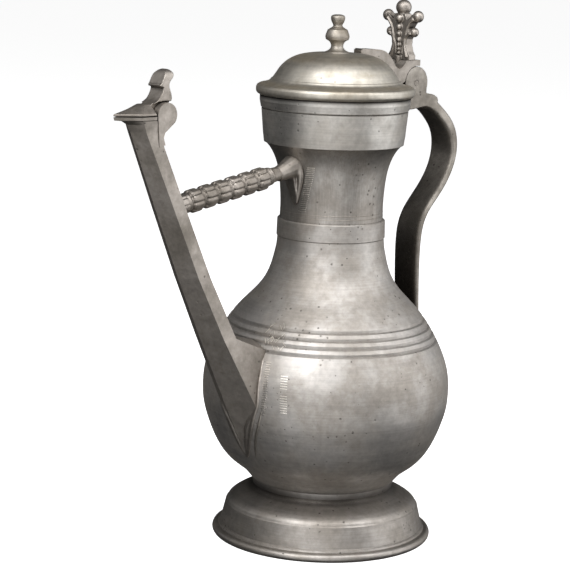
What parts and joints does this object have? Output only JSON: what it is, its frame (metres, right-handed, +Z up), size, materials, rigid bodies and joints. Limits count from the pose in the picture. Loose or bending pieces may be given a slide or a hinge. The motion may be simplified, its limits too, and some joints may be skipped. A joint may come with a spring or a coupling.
{
  "type": "lidded pewter flagon",
  "caption": "Footed pewter wine flagon with a hinged domed lid, a long covered spout joined to the neck by a bar, and a strap handle.",
  "frame": {"origin": "on the axis of the body of revolution, in the plane the foot stands on", "axes": "+Z up, -X towards the tip of the spout, +X towards the handle, the object is symmetrical about y = 0"},
  "size_m": [0.2771, 0.1498, 0.3258],
  "materials": {
    "turned_pewter": "turned and burnished pewter, worn satin",
    "cast_pewter": "cast and scraped pewter with grey oxide in the recesses",
    "hinge_pin": "pewter pin, filed flush"
  },
  "bodies": {
    "vessel": {"foot": "turned_pewter", "belly_lower": "turned_pewter", "belly_upper": "turned_pewter", "collar_band": "turned_pewter", "neck": "turned_pewter", "mouth_ring": "turned_pewter", "spout_near": "cast_pewter", "spout_far": "cast_pewter", "spout_lug_near": "cast_pewter", "spout_lug_far": "cast_pewter", "spout_pin": "hinge_pin", "bridge_boss": "cast_pewter", "bridge_bar": "cast_pewter", "bridge_root": "cast_pewter", "handle": "cast_pewter", "lid_pin": "hinge_pin"},
    "lid": {"lid": "turned_pewter", "finial": "turned_pewter", "lid_strap": "cast_pewter", "thumbpiece": "cast_pewter"},
    "spout_cover": {"spout_cover": "cast_pewter", "cover_tab": "cast_pewter"}
  },
  "joints": [
    {"name": "lid_hinge", "type": "hinge", "parent": "vessel", "child": "lid", "pos_m": [0.0643, 0, 0.275], "axis": [0, 1, 0], "range_deg": [0, 95]},
    {"name": "spout_cover_hinge", "type": "hinge", "parent": "vessel", "child": "spout_cover", "pos_m": [-0.1405, 0, 0.2643], "axis": [0, 1, 0], "range_deg": [0, 95]}
  ]
}
